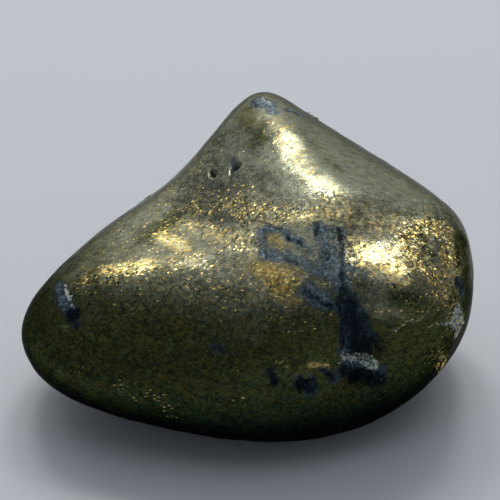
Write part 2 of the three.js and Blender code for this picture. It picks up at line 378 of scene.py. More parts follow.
class StoneColours(bpy.types.PropertyGroup):
    """Colours of the stone, its floor and its lights."""

    brass: colour_property("Brass", "Metal where the polish is fresh", (0.214, 0.222, 0.196))
    # Amber is also painted as highlight where the sparkle-and-highlight marks lie.
    amber: colour_property("Amber", "Metal where crystals are exposed", (0.88, 0.74, 0.42))
    # Olive is partly painted shade, the dark green of the metal mirroring a shaded floor low on the stone,
    # and partly the metal's own tarnish.
    olive: colour_property("Olive", "Tarnished metal low on the stone", (0.036, 0.061, 0.029))
    brown: colour_property("Brown", "Warm blotches in the tarnish", (0.098, 0.082, 0.024))
    # Painted shade: the near-black olive at the foot.
    deep: colour_property("Deep olive", "Tarnish around the foot", (0.005, 0.012, 0.009))
    gold: colour_property("Gold", "Bright grains", (0.98, 0.70, 0.22))
    inclusion: colour_property("Inclusion", "Blue-grey minerals in the metal", (0.030, 0.065, 0.098))
    quartz: colour_property("Glassy grey", "Lighter parts of the inclusions", (0.28, 0.40, 0.50))
    # Near-black, used inside the pits and along the dark markings.
    shadow: colour_property("Pit", "Dirt in the pits and grooves", (0.003, 0.008, 0.014))
    crust: colour_property("Crust", "Pale crust", (0.55, 0.59, 0.49))
    rust: colour_property("Rust", "Warm brown stain", (0.44, 0.30, 0.075))
    floor: colour_property("Floor", "Pale floor", (0.68, 0.70, 0.73))


class StoneSettings(bpy.types.PropertyGroup):
    """Everything that a user of the stone would change."""

    sizes: bpy.props.PointerProperty(type=StoneSizes)
    colours: bpy.props.PointerProperty(type=StoneColours)
    lamp_power: amount_property("Lamps", "Power of each lamp above and behind the stone", 0.17, "POWER")
    fill_power: amount_property("Fill light", "Power of the wide light behind the stone", 1.9, "POWER")
    top_power: amount_property("Top light", "Power of the wide light above the stone", 1.1, "POWER")


# Form


def direction(azimuth, elevation):
    """The unit vector that points along an azimuth and an elevation, in degrees."""
    a = math.radians(azimuth)
    e = math.radians(elevation)
    return np.array([math.cos(a) * math.cos(e), math.sin(a) * math.cos(e), math.sin(e)])


def worn_radius(rays):
    """How far from the centre the worn planes lie along each ray: where a sum of exponentials is 1."""
    faces = WORN_FACES.values()
    normals = np.array([direction(face[0], face[1]) for face in faces])
    distances = np.array([face[2] for face in faces])
    hardness = np.array([face[3] for face in faces])
    along = rays @ normals.T
    inside = np.zeros(len(rays))
    outside = np.full(len(rays), REACH)
    for _ in range(SOLVER_STEPS):
        middle = (inside + outside) / 2
        too_far = np.exp(hardness * (along * middle[:, None] - distances)).sum(1) > 1
        outside = np.where(too_far, middle, outside)
        inside = np.where(too_far, inside, middle)
    return (inside + outside) / 2


def swell_heights(points):
    heights = np.zeros(len(points))
    for middle, widths, height in SWELLS.values():
        offset = (((points - middle) / widths) ** 2).sum(1)
        heights += height * np.exp(-offset)
    return heights


def pebble_points(rays):
    """Where the rays from the centre leave the stone, before it rests on the floor."""
    points = CENTRE + rays * worn_radius(rays)[:, None]
    return points + rays * swell_heights(points)[:, None]


def cube_sphere(squares):
    """Rays spread evenly over a sphere, and the quads that join them, from the six sides of a cube."""
    steps = np.tan(np.linspace(-math.pi / 4, math.pi / 4, squares + 1))
    across, up = np.meshgrid(steps, steps, indexing="ij")
    ones = np.ones_like(across)
    sides = [
        (ones, across, up),
        (-ones, up, across),
        (up, ones, across),
        (across, -ones, up),
        (across, up, ones),
        (up, across, -ones),
    ]
    points = np.concatenate([np.stack(side, -1).reshape(-1, 3) for side in sides])
    points /= np.linalg.norm(points, axis=1, keepdims=True)
    index = np.arange((squares + 1) ** 2).reshape(squares + 1, squares + 1)
    square = np.stack([index[:-1, :-1], index[1:, :-1], index[1:, 1:], index[:-1, 1:]], -1).reshape(-1, 4)
    quads = np.concatenate([square + side * (squares + 1) ** 2 for side in range(len(sides))])
    rounded = np.round(points, MERGE_DIGITS)
    _, first, merged = np.unique(rounded, axis=0, return_index=True, return_inverse=True)
    return points[first], merged.reshape(-1)[quads]


def smooth_step(values, low, high):
    t = np.clip((values - low) / (high - low), 0, 1)
    return t * t * (3 - 2 * t)


def blob_depth(points, place):
    """How deep a small round blob is at each point: 1 in its middle, and 0 at its rim and outside it."""
    middle, (azimuth, elevation), turn, sizes = place
    out = direction(azimuth, elevation)
    level = np.cross((0, 0, 1), out)
    level /= np.linalg.norm(level)
    up = np.cross(out, level)
    spin = math.radians(turn)
    along = math.cos(spin) * level + math.sin(spin) * up
    across = np.cross(out, along)
    offset = points - middle
    reach = ((offset @ along) / sizes[0]) ** 2 + ((offset @ across) / sizes[1]) ** 2
    near = np.abs(offset @ out) < BLOB_REACH * sizes[2]
    return np.where(near, np.sqrt(np.clip(1 - reach, 0, 1)), 0)


# Markings


def camera_axes():
    e = math.radians(CAMERA_ELEVATION)
    back = np.array([0, -math.cos(e), math.sin(e)])
    up = np.array([0, math.sin(e), math.cos(e)])
    return np.array([1.0, 0, 0]), up, back


def photo_ray(x, y):
    """The camera's place and the ray through a pixel of the photograph."""
    right, up, back = camera_axes()
    half = PHOTO_PIXELS / 2
    eye = CAMERA_TARGET + back * CAMERA_DISTANCE
    aim = CAMERA_TARGET + (right * (x - half) + up * (half - y)) * PHOTO_MM_PER_PIXEL
    ray = aim - eye
    return eye, ray / np.linalg.norm(ray)


def cast(tree, start, ray):
    hit = tree.ray_cast(Vector(start), Vector(ray))[0]
    if hit is None:
        raise RuntimeError("a marking misses the stone")
    return np.array(hit)


def distance_to_line(points, line):
    """Each point's distance to a line of straight pieces."""
    nearest = np.full(len(points), REACH)
    for start, end in zip(line[:-1], line[1:]):
        piece = end - start
        along = np.clip((points - start) @ piece / max(piece @ piece, SHORTEST), 0, 1)
        nearest = np.minimum(nearest, np.linalg.norm(points - start - along[:, None] * piece, axis=1))
    return nearest


def warped(points):
    """The points pushed about by a smooth noise, so that nothing placed by them has a straight edge."""
    noise.seed_set(WARP_SEED)
    pushes = [noise.turbulence_vector(Vector(point) / WARP_WIDTH, WARP_OCTAVES, False) for point in points]
    return points + np.array(pushes) * WARP_REACH


def marking(tree, points, name):
    """A marking's strength at each point: full along the middle of a stroke, half at its half width."""
    strength = np.zeros(len(points))
    for stroke, half_width, full in STROKES[name]:
        line = [cast(tree, *photo_ray(x, y)) for x, y in stroke]
        reach = distance_to_line(points, line) / half_width
        strength = np.maximum(strength, full * np.exp2(-(reach**2)))
    return strength


def noise_field(points, width, shift):
    """A noise at each point, nearly always between -0.7 and 0.7."""
    offset = Vector((0, 0, shift * NOISE_SHIFT))
    places = [Vector(point) / width + offset for point in points]
    return np.array([noise.fractal(place, *FRACTAL_STEP, NOISE_OCTAVES) for place in places])


def hidden_markings(points):
    """The markings of the sides that the photograph doesn't show."""
    marks = {}
    for shift, (name, (width, low, high, full)) in enumerate(HIDDEN_PATCHES.items()):
        marks[name] = full * smooth_step(noise_field(points, width, shift), low, high)
    width, low, high = VEIN_PATCHES
    patches = smooth_step(noise_field(points, width, len(marks)), low, high)
    for name, (width, half_width, full) in HIDDEN_VEINS.items():
        reach = noise_field(points, width, len(HIDDEN_PATCHES) + 1) / half_width
        marks[name] = full * patches * np.exp2(-(reach**2))
    return marks


# Node trees


class Wire:
    """One output socket, so that the maths of a texture reads as an ordinary expression."""

    def __init__(self, graph, socket):
        self.graph = graph
        self.socket = socket

    def __add__(self, other):
        return self.graph.maths("ADD", self, other)

    def __sub__(self, other):
        return self.graph.maths("SUBTRACT", self, other)

    def __rsub__(self, other):
        return self.graph.maths("SUBTRACT", other, self)

    def __mul__(self, other):
        return self.graph.maths("MULTIPLY", self, other)

    def __rtruediv__(self, other):
        return self.graph.maths("DIVIDE", other, self)

    def __gt__(self, other):
        return self.graph.maths("GREATER_THAN", self, other)

    __radd__ = __add__
    __rmul__ = __mul__


class Graph:
    """A node tree that grows by one call for each node."""

    def __init__(self, tree):
        self.tree = tree
        self.tree.nodes.clear()

    def node(self, kind, settings=None, inputs=None):
        made = self.tree.nodes.new(kind)
        for name, value in (settings or {}).items():
            setattr(made, name, value)
        for name, value in (inputs or {}).items():
            if isinstance(value, Wire):
                self.tree.links.new(value.socket, made.inputs[name])
            else:
                made.inputs[name].default_value = value
        return made

    def wire(self, kind, settings=None, inputs=None, output=0):
        return Wire(self, self.node(kind, settings, inputs).outputs[output])

    def maths(self, operation, a, b):
        return self.wire("ShaderNodeMath", {"operation": operation}, {0: a, 1: b})

    def vector(self, operation, a, b):
        return self.wire("ShaderNodeVectorMath", {"operation": operation}, {0: a, 1: b})

    def scaled(self, a, factor):
        return self.wire("ShaderNodeVectorMath", {"operation": "SCALE"}, {0: a, "Scale": factor})

    def most(self, a, b):
        return self.maths("MAXIMUM", a, b)

    def ease(self, value, low, high):
        """0 below the low value and 1 above the high one, with a smooth way between."""
        inputs = {"Value": value, "From Min": low, "From Max": high}
        return self.wire("ShaderNodeMapRange", {"interpolation_type": "SMOOTHSTEP"}, inputs)

    def noise(self, place, scale, detail=2.0, roughness=0.5):
        inputs = {"Vector": place, "Scale": scale, "Detail": detail, "Roughness": roughness}
        return self.wire("ShaderNodeTexNoise", None, inputs)

    def cells(self, place, scale):
        """A random colour for each of the cells that fill space."""
        return self.wire("ShaderNodeTexVoronoi", None, {"Vector": place, "Scale": scale}, "Color")

    def mix(self, factor, a, b):
        """Colours a and b mixed: a where factor is 0."""
        return self.wire("ShaderNodeMix", {"data_type": "RGBA"}, {0: factor, 6: a, 7: b}, 2)

    def parts(self, colour):
        """A colour's three channels."""
        split = self.node("ShaderNodeSeparateXYZ", None, {0: colour})
        return [Wire(self, socket) for socket in split.outputs]


def opaque(colour):
    return (colour[0], colour[1], colour[2], 1.0)


# Materials

# The value that noises and random colours vary around.
MIDDLE = 0.5
# The tint of what the metal mirrors where it is seen at a low angle. It is dark, so that the pale floor
# mirrored along the rims stays dim: painted shade on those reflections.
EDGE_TINT = (0.25, 0.25, 0.22, 1.0)

# How the stone's noises are stretched along X, Y and Z.
STRETCHES = {"even": (1.0, 1.0, 1.0), "streaky": (0.6, 1.0, 1.0), "upright": (1.0, 1.0, 0.22)}

# The stone's noises: their stretch, how often they repeat in a millimetre, their detail and roughness.
NOISES = {
    "broad": ("even", 0.20, 3.0, 0.55),
    "cloudy": ("even", 0.7, 4.0, 0.6),
    "patchy": ("even", 1.5, 5.0, 0.7),
    "mottle": ("streaky", 2.6, 4.0, 0.65),
    "fine": ("even", 8.0, 3.0, 0.7),
    "specks": ("even", 1.1, 5.0, 0.75),
    "broken": ("even", 3.4, 4.0, 0.75),
    "threads": ("upright", 4.0, 3.0, 0.6),
    "clusters": ("streaky", 1.9, 3.0, 0.7),
    "gaps": ("even", 1.7, 4.0, 0.7),
    "glassy": ("even", 4.2, 4.0, 0.75),
}
# How much the fine noise adds to the mottle where they make an edge ragged.
FINE_IN_RAGGED = 0.8

# The stone's crystals, in two sets: their stretch and how many lie side by side in a millimetre. The
# blend is the small ones' share in how a place leans.
CRYSTALS = {"crystal": ("even", 4.6), "speck": ("streaky", 10.0)}
CRYSTAL_BLEND = 0.5

# The layers of the stone's look. Each starts from a marking, or from the middle value where it has
# none, is pushed by noises, and fades in between two values.
INCLUSION_PUSHES = {"ragged": 1.0, "patchy": 0.9}
LAYERS = {
    "inclusion": ("inclusion", INCLUSION_PUSHES, 0.24, 0.90),
    "rim": ("inclusion", INCLUSION_PUSHES, 0.20, 0.44),
    "core": ("inclusion", INCLUSION_PUSHES, 0.50, 0.80),
    "crust": ("crust", {"ragged": 0.7}, 0.40, 0.58),
    "dark": ("dark", {"ragged": 0.45}, 0.15, 0.90),
    "hollow": ("hollow", {}, 0.10, 0.90),
    "rust": ("rust", {"ragged": 0.6}, 0.10, 1.10),
    "low": ("low", {"cloudy": 0.5}, 0.05, 0.95),
    "tarnish": ("tarnish", {"cloudy": 0.8, "broad": 0.6}, 0.10, 0.95),
    "specks": (None, {"specks": 1.0, "fine": 0.25}, 0.71, 0.77),
    "broken": (None, {"broken": 1.0}, 0.40, 0.60),
    "threads": (None, {"threads": 1.0}, 0.52, 0.66),
    "clusters": (None, {"clusters": 1.0}, 0.42, 0.64),
    "gaps": (None, {"gaps": 1.0}, 0.49, 0.60),
    "blotch": (None, {"patchy": 0.5, "cloudy": 0.5}, 0.47, 0.60),
    "shade": (None, {"mottle": 1.0}, 0.48, 0.62),
    "stain": (None, {"mottle": 1.0}, 0.42, 0.68),
    "warmth": (None, {"hue": 0.5, "warmth": 0.2, "patchy": 0.3}, 0.30, 0.70),
    "glassy": (None, {"glassy": 1.0, "fine": 0.3}, 0.48, 0.62),
    "crumble": (None, {"fine": 1.0, "mottle": 1.0}, 0.40, 0.56),
}
SPECK_STRENGTH = 0.5

# What lies over a layer, and up to which share it hides it.
HIDDEN_BY = {
    "inclusion": {"broken": 0.22},
    "rim": {"core": 1.0},
    "dark": {"threads": 0.45},
    "tarnish": {"rust": 0.6},
}
GRAINS_HIDDEN_BY = {"gaps": 0.8}
SHINE_HIDDEN_BY = {"inclusion": 1.0, "crust": 1.0, "dark": 1.0, "tarnish": 0.4}
METAL_HIDDEN_BY = {"crust": 0.95}
LEAN_HIDDEN_BY = {"crust": 0.8}
# Low on the stone, the coat and the inclusions' colour fade with the painted shade.
COAT_HIDDEN_BY = {"dark": 1.0, "crust": 1.0, "low": 0.9, "tarnish": 0.9}
MINERAL_HIDDEN_BY = {"low": 0.6}

# Values that are added up from layers: the base, and each layer's weight.
GRAIN_SHARE = (0.001, {"glitter": 0.26, "coarse": 0.30})
GRAIN_CLUSTERS = (0.12, {"clusters": 1.15})
GRAIN_SHINE = (0.3, {"shine": 0.7})
CRYSTAL_TONE = (-0.825, {"face": 0.75, "shine": 0.90})
MINERAL_GLASS = (0.8, {"low": -0.6})
METALLIC = (0.95, {"inclusion": -0.50})
LEAN = (0.08, {"glitter": 0.24, "coarse": 0.85, "bright": 0.35, "inclusion": 0.08})
HEIGHT = (0.0, {"fine": 0.45, "mottle": 0.55})
ROUGHNESS = (
    0.14,
    {
        "mottle": 0.22,
        "tarnish": 0.15,
        "inclusion": 0.10,
        "dark": 0.25,
        "crust": 0.40,
        "glitter": 0.04,
        "bright": -0.12,
    },
)

# How lively the crystals' hues and tones are, and the two hues that they lean to.
LIVELY = (0.30, {"exposed": 0.70, "tarnish": 0.55})
GOLDEN = (1.29, 1.10, 0.60)
GREYISH = (0.77, 0.93, 1.02)

# The most that a layer shows of its colour.
SHOWN = {
    "blotch": 0.75,
    "high": 0.35,
    "low": 0.95,
    "shade": 0.48,
    "glitter": 0.6,
    "coarse": 0.65,
    "stain": 0.4,
    "hollow": 0.6,
    "gaps": 0.8,
    "rust": 0.6,
    "inclusion": 0.92,
    "rim": 0.5,
    "dark": 0.92,
}

COARSE_BUMP = 2.0
BUMP_STRENGTH = 0.30
BUMP_DEPTH = 0.05 * MM
COAT = 0.28
COAT_ROUGHNESS = 0.18

# The noises of the grains, the crumbs and the floor, the values between which they fade, and the
# roughness of each.
GRAIN_TONE = (1.6, 2.0)
GRAIN_FADE = (0.35, 0.65)
GRAIN_WEAR = (6.0, 2.0)
GRAIN_ROUGHNESS = 0.18
GRAIN_WEAR_ROUGHNESS = 0.25
CRUMB_TONE = (3.0, 3.0, 0.6)
CRUMB_FADE = (0.5, 0.8)
CRUMB_ROUGHNESS = 0.55
FLOOR_TONE = (0.02, 2.0)
FLOOR_SHADE = (0.5, 0.52, 0.55, 1)
FLOOR_SHADE_SHARE = 0.08
FLOOR_ROUGHNESS = 0.85


def new_material(name):
    material = bpy.data.materials.new(name)
    material.use_nodes = True
    return material, Graph(material.node_tree)


def finish_material(graph, inputs):
    shader = graph.wire("ShaderNodeBsdfPrincipled", None, inputs)
    graph.node("ShaderNodeOutputMaterial", None, {"Surface": shader})


def millimetres(graph):
    """The place on the object, in millimetres."""
    return graph.scaled(graph.wire("ShaderNodeTexCoord", None, None, "Object"), 1 / MM)


def mask(graph, name):
    return graph.wire("ShaderNodeAttribute", {"attribute_name": name}, None, "Fac")


def tilted(graph, colour, amount):
    """The surface normal, leant by a random colour: each crystal of the metal faces its own way."""
    centred = graph.vector("SUBTRACT", colour, (MIDDLE, MIDDLE, MIDDLE))
    geometry = graph.wire("ShaderNodeNewGeometry", None, None, "Normal")
    leant = graph.vector("ADD", geometry, graph.scaled(centred, amount))
    return graph.wire("ShaderNodeVectorMath", {"operation": "NORMALIZE"}, {0: leant})


def faded(graph, values, name):
    """A layer's strength, from 0 to 1."""
    marking_name, pushes, low, high = LAYERS[name]
    strength = mask(graph, marking_name) if marking_name else MIDDLE
    for value, push in pushes.items():
        strength = (values[value] - MIDDLE) * push + strength
    return graph.ease(strength, low, high)


def added_up(layers, recipe):
    """A base value with each layer added by its weight."""
    total, weights = recipe
    for name, weight in weights.items():
        total = layers[name] * weight + total
    return total


def uncovered(layers, covers):
    """What is left free by layers that each hide up to a share."""
    left = 1
    for name, share in covers.items():
        left = (1 - layers[name] * share) * left
    return left


def stone_values(graph):
    """The stone's noises, and the random values of its crystals, by name."""
    place = millimetres(graph)
    places = {name: graph.vector("MULTIPLY", place, stretch) for name, stretch in STRETCHES.items()}
    values = {name: graph.noise(places[kind], *settings) for name, (kind, *settings) in NOISES.items()}
    values["ragged"] = values["mottle"] + (values["fine"] - MIDDLE) * FINE_IN_RAGGED
    crystal, speck = [graph.cells(places[kind], scale) for kind, scale in CRYSTALS.values()]
    values["chance"], values["shine"], values["hue"] = graph.parts(speck)
    _, values["face"], values["warmth"] = graph.parts(crystal)
    return values, graph.mix(CRYSTAL_BLEND, crystal, speck)


def stone_layers(graph, values):
    """The stone's layers by name, each with what lies over it taken away, beside its values."""
    layers = {**values, **{name: faded(graph, values, name) for name in LAYERS}}
    for name in ("coarse", "glitter"):
        layers[name] = mask(graph, name)
    layers["inclusion"] = graph.most(layers["inclusion"], layers["specks"] * SPECK_STRENGTH)
    for name, covers in HIDDEN_BY.items():
        layers[name] = layers[name] * uncovered(layers, covers)
    layers["gaps"] = layers["gaps"] * layers["coarse"]
    layers["high"] = 1 - layers["low"]
    layers["exposed"] = graph.most(layers["glitter"], layers["coarse"])

    share = added_up(layers, GRAIN_SHARE) * added_up(layers, GRAIN_CLUSTERS)
    share = share * uncovered(layers, GRAINS_HIDDEN_BY)
    shine = added_up(layers, GRAIN_SHINE) * uncovered(layers, SHINE_HIDDEN_BY)
    layers["bright"] = (layers["chance"] > 1 - share) * shine
    return layers


def metal_colour(graph, layers, shown, colours):
    """The metal: brass, or amber on exposed crystals and as painted highlight; olive or brown under tarnish
    and painted shade, near-black at the foot; with gold crystals.
    """
    # Painted shade with tarnish: brown higher up, olive lower down, near-black at the foot.
    brownish = graph.most(shown["blotch"], shown["high"])
    patina_and_shade_colour = graph.mix(brownish, colours["olive"], colours["brown"])
    patina_and_shade_colour = graph.mix(shown["low"], patina_and_shade_colour, colours["deep"])
    patina_and_shade_colour = graph.mix(shown["shade"], patina_and_shade_colour, colours["shadow"])
    # Painted highlight: amber where the sparkle-and-highlight marks lie; real amber on the coarse patches.
    amber = graph.most(layers["glitter"] * shown["glitter"], shown["coarse"])
    metal = graph.mix(amber, colours["brass"], colours["amber"])
    metal = graph.mix(layers["tarnish"], metal, patina_and_shade_colour)
    metal = graph.mix(shown["stain"], metal, patina_and_shade_colour)
    # Painted shade: olive in the hollows of the coarse bumps; the gaps between grains are random tone.
    metal = graph.mix(graph.most(shown["hollow"], shown["gaps"]), metal, colours["olive"])
    metal = graph.mix(shown["rust"], metal, colours["rust"])

    lively = added_up(layers, LIVELY)
    golden = graph.vector("MULTIPLY", metal, GOLDEN)
    greyish = graph.vector("MULTIPLY", metal, GREYISH)
    metal = graph.mix((layers["warmth"] - MIDDLE) * lively + MIDDLE, greyish, golden)
    metal = graph.scaled(metal, 1 + added_up(layers, CRYSTAL_TONE) * lively)
    return graph.mix(layers["bright"], metal, colours["gold"])


def stone_colour(graph, layers, colours):
    """The metal with its inclusions, crusts and dark spots."""
    shown = {name: layers[name] * share for name, share in SHOWN.items()}
    glass = layers["glassy"] * added_up(layers, MINERAL_GLASS)
    mineral = graph.mix(glass, colours["inclusion"], colours["quartz"])
    mineral = graph.scaled(mineral, uncovered(layers, MINERAL_HIDDEN_BY))
    pale = graph.mix(layers["crumble"], colours["inclusion"], colours["crust"])
    colour = metal_colour(graph, layers, shown, colours)
    colour = graph.mix(shown["inclusion"], colour, mineral)
    colour = graph.mix(shown["rim"], colour, colours["inclusion"])
    colour = graph.mix(layers["crust"], colour, pale)
    return graph.mix(shown["dark"], colour, colours["shadow"])


def stone_normal(graph, layers, crystals):
    """The crystals' own slopes, and small bumps on them."""
    lean = added_up(layers, LEAN) * uncovered(layers, LEAN_HIDDEN_BY)
    height = layers["coarse"] * (layers["cloudy"] + layers["mottle"]) * COARSE_BUMP
    inputs = {
        "Strength": BUMP_STRENGTH,
        "Distance": BUMP_DEPTH,
        "Height": height + added_up(layers, HEIGHT),
        "Normal": tilted(graph, crystals, lean),
    }
    return graph.wire("ShaderNodeBump", None, inputs)


def stone_material(settings):
    material, graph = new_material("Worn chalcopyrite")
    colours = {name: opaque(getattr(settings, name)) for name in settings.__annotations__}
    values, crystals = stone_values(graph)
    layers = stone_layers(graph, values)
    inputs = {
        "Base Color": stone_colour(graph, layers, colours),
        "Metallic": added_up(layers, METALLIC) * uncovered(layers, METAL_HIDDEN_BY),
        "Roughness": added_up(layers, ROUGHNESS),
        "Normal": stone_normal(graph, layers, crystals),
        "Coat Weight": uncovered(layers, COAT_HIDDEN_BY) * COAT,
        "Coat Roughness": COAT_ROUGHNESS,
        "Specular Tint": EDGE_TINT,
    }
    finish_material(graph, inputs)
    return material


def grain_material(colours):
    material, graph = new_material("Gold grains")
    place = millimetres(graph)
    tone = graph.ease(graph.noise(place, *GRAIN_TONE), *GRAIN_FADE)
    rough = graph.noise(place, *GRAIN_WEAR) * GRAIN_WEAR_ROUGHNESS + GRAIN_ROUGHNESS
    inputs = {
        "Base Color": graph.mix(tone, opaque(colours.gold), opaque(colours.brass)),
        "Metallic": 1.0,
        "Roughness": rough,
    }
    finish_material(graph, inputs)
    return material


def crumb_material(colours):
    material, graph = new_material("Pale crust crumbs")
    tone = graph.ease(graph.noise(millimetres(graph), *CRUMB_TONE), *CRUMB_FADE)
    colour = graph.mix(tone, opaque(colours.crust), opaque(colours.quartz))
    finish_material(graph, {"Base Color": colour, "Roughness": CRUMB_ROUGHNESS, "Metallic": 0.0})
    return material


def floor_material(colours):
    material, graph = new_material("Pale floor")
    tone = graph.noise(millimetres(graph), *FLOOR_TONE) * FLOOR_SHADE_SHARE
    colour = graph.mix(tone, opaque(colours.floor), FLOOR_SHADE)
    finish_material(graph, {"Base Color": colour, "Roughness": FLOOR_ROUGHNESS})
    return material


# Pieces


def attach(piece, *nodes):
    """Says what a finished piece rides on, and hides the solids that it stands for."""
    if nodes:
        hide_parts(*nodes)
    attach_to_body(piece, BODY)


def geometry_tree(name, *sizes):
    """A geometry tree with a mesh going in and out, and a named input for each size."""
    tree = bpy.data.node_groups.new(name, "GeometryNodeTree")
    tree.interface.new_socket(name="Geometry", in_out="INPUT", socket_type="NodeSocketGeometry")
    for size in sizes:
        tree.interface.new_socket(name=size, in_out="INPUT", socket_type="NodeSocketFloat")
    tree.interface.new_socket(name="Geometry", in_out="OUTPUT", socket_type="NodeSocketGeometry")
    graph = Graph(tree)
    entry = graph.node("NodeGroupInput")
    inputs = {socket.name: Wire(graph, socket) for socket in entry.outputs if socket.name}
    return tree, graph, inputs


def close_tree(graph, geometry, material):
    """Ends a geometry tree with plain geometry in one material."""
    real = graph.wire("GeometryNodeRealizeInstances", None, {"Geometry": geometry})
    painted = graph.wire("GeometryNodeSetMaterial", None, {"Geometry": real, "Material": material})
    graph.node("NodeGroupOutput", None, {0: painted})


def evaluated_copy(source, tree, values, name):
    """The source mesh after a geometry tree, as a new plain mesh object at the origin."""
    carrier = bpy.data.objects.new(name + " carrier", source)
    bpy.context.scene.collection.objects.link(carrier)
    modifier = carrier.modifiers.new(name, "NODES")
    modifier.node_group = tree
    sockets = {item.name: item.identifier for item in tree.interface.items_tree if item.in_out == "INPUT"}
    for size, value in values.items():
        modifier[sockets[size]] = value
    depsgraph = bpy.context.evaluated_depsgraph_get()
    mesh = bpy.data.meshes.new_from_object(carrier.evaluated_get(depsgraph))
    carrier.modifiers.remove(modifier)
    bpy.data.objects.remove(carrier)
    if not mesh.polygons:
        raise RuntimeError(name + " came out empty")
    mesh.name = name
    piece = bpy.data.objects.new(name, mesh)
    bpy.context.scene.collection.objects.link(piece)
    return piece


# The relief's noises: their detail and roughness. The gain brings a noise to 1 either way.
RIPPLE_NOISE = (2.0, 0.45)
COARSE_NOISE = (3.0, 0.6)
NOISE_GAIN = 2
HOLLOW_STRENGTH = 5


def named_value(graph, name):
    return graph.wire("GeometryNodeInputNamedAttribute", {"data_type": "FLOAT"}, {"Name": name})


def relief_tree(material):
    """Soft ripples all over, and rough bumps on the unpolished patches, whose hollows are kept for painted
    shade.
    """
    sizes = ("Ripple height", "Ripple width", "Coarse height", "Coarse width")
    tree, graph, inputs = geometry_tree("Worn relief", *sizes)
    place = graph.wire("GeometryNodeInputPosition")
    normal = graph.wire("GeometryNodeInputNormal")
    coarse = named_value(graph, "coarse")
    wide = graph.noise(place, 1 / inputs["Ripple width"], *RIPPLE_NOISE) - MIDDLE
    bumps = graph.noise(place, 1 / inputs["Coarse width"], *COARSE_NOISE) - MIDDLE
    ripples = wide * inputs["Ripple height"] * NOISE_GAIN
    roughness = bumps * coarse * inputs["Coarse height"] * NOISE_GAIN
    height = (ripples + roughness) * named_value(graph, "free")
    # Painted shade: the bumps' hollows, kept as an attribute that darkens the colour to olive there.
    hollow = (0 - bumps) * coarse * HOLLOW_STRENGTH
    kept = graph.wire(
        "GeometryNodeStoreNamedAttribute",
        {"data_type": "FLOAT", "domain": "POINT"},
        {"Geometry": inputs["Geometry"], "Name": "hollow", "Value": hollow},
    )
    offset = graph.scaled(normal, height)
    moved = graph.wire("GeometryNodeSetPosition", None, {"Geometry": kept, "Offset": offset})
    close_tree(graph, moved, material)
    return tree


# The strength of a marking where the first blocks stand, and where they all do.
SCATTER_FADE = (0.35, 0.9)
# The smallest and the largest block, as shares of the full size along its three sides.
BLOCK_SMALLEST = (0.35, 0.35, 0.25)
BLOCK_LARGEST = (1.0, 1.0, 0.5)
BLOCK_RADIUS = 0.5
# How far the blocks lean, in radians.
GRAIN_TILT = 0.5
CRUMB_TILT = 0.9
CRUMB_SEED_STEP = 9  # keeps the crumbs' draws apart from the grains'


def scatter_tree(name, attribute, material, seed, tilt):
    """Small blocks set into the surface where an attribute is high, each turned its own way."""
    tree, graph, inputs = geometry_tree(name, "Block size", "Density")
    where = graph.ease(named_value(graph, attribute), *SCATTER_FADE)
    spread = graph.node(
        "GeometryNodeDistributePointsOnFaces",
        None,
        {"Mesh": inputs["Geometry"], "Density": where * inputs["Density"], "Seed": seed},
    )
    points = Wire(graph, spread.outputs["Points"])
    facing = Wire(graph, spread.outputs["Rotation"])
    lean = graph.wire(
        "FunctionNodeRandomValue",
        {"data_type": "FLOAT_VECTOR"},
        {0: (-tilt, -tilt, 0.0), 1: (tilt, tilt, math.tau), "Seed": seed + 1},
    )
    turn = graph.wire(
        "FunctionNodeRotateRotation",
        {"rotation_space": "LOCAL"},
        {"Rotation": facing, "Rotate By": graph.wire("FunctionNodeEulerToRotation", None, {0: lean})},
    )
    stretch = graph.wire(
        "FunctionNodeRandomValue",
        {"data_type": "FLOAT_VECTOR"},
        {0: BLOCK_SMALLEST, 1: BLOCK_LARGEST, "Seed": seed + 2},
    )
    block = graph.wire("GeometryNodeMeshIcoSphere", None, {"Radius": BLOCK_RADIUS, "Subdivisions": 1})
    placed = graph.wire(
        "GeometryNodeInstanceOnPoints",
        None,
        {
            "Points": points,
            "Instance": block,
            "Rotation": turn,
            "Scale": graph.scaled(stretch, inputs["Block size"]),
        },
    )
    close_tree(graph, placed, material)
    return tree


def stone_shift():
    """From the form's own millimetres to the frame's: both boxes share their middle and their floor."""
    low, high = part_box(NODE)
    rays, _ = cube_sphere(GRID)
    points = pebble_points(rays)
    points[:, 2] = np.maximum(points[:, 2], 0)
    middle = (points.min(0) + points.max(0)) / 2
    target = np.array((low + high) / 2) / MM
    return np.array([target[0] - middle[0], target[1] - middle[1], low.z / MM])


def add_hidden_markings(marks, points, rays):
    """Adds the noise's markings where the stone faces away from the photograph's camera."""
    _, _, towards_camera = camera_axes()
    hidden = 1 - smooth_step(rays @ towards_camera, *HIDDEN_FADE)
    unseen = hidden > 0
    for name, strength in hidden_markings(points[unseen]).items():
        marks[name][unseen] = np.maximum(marks[name][unseen], strength * hidden[unseen])


def relief_height(marks, points):
    """How far the pits, crusts and markings raise each point, and the pits' darkening added to the markings.
    """
    height = np.zeros(len(points))
    for pit in PITS.values():
        depth = blob_depth(points, pit)
        height -= depth * pit[3][2]
        marks["dark"] = np.maximum(marks["dark"], smooth_step(depth, *PIT_FADE) * PIT_DARKENING)
    for crust in CRUSTS.values():
        height += blob_depth(points, crust) * crust[3][2] * CRUST_SHARE
    return height - DARK_DEPTH * marks["dark"] + CRUST_HEIGHT * marks["crust"]


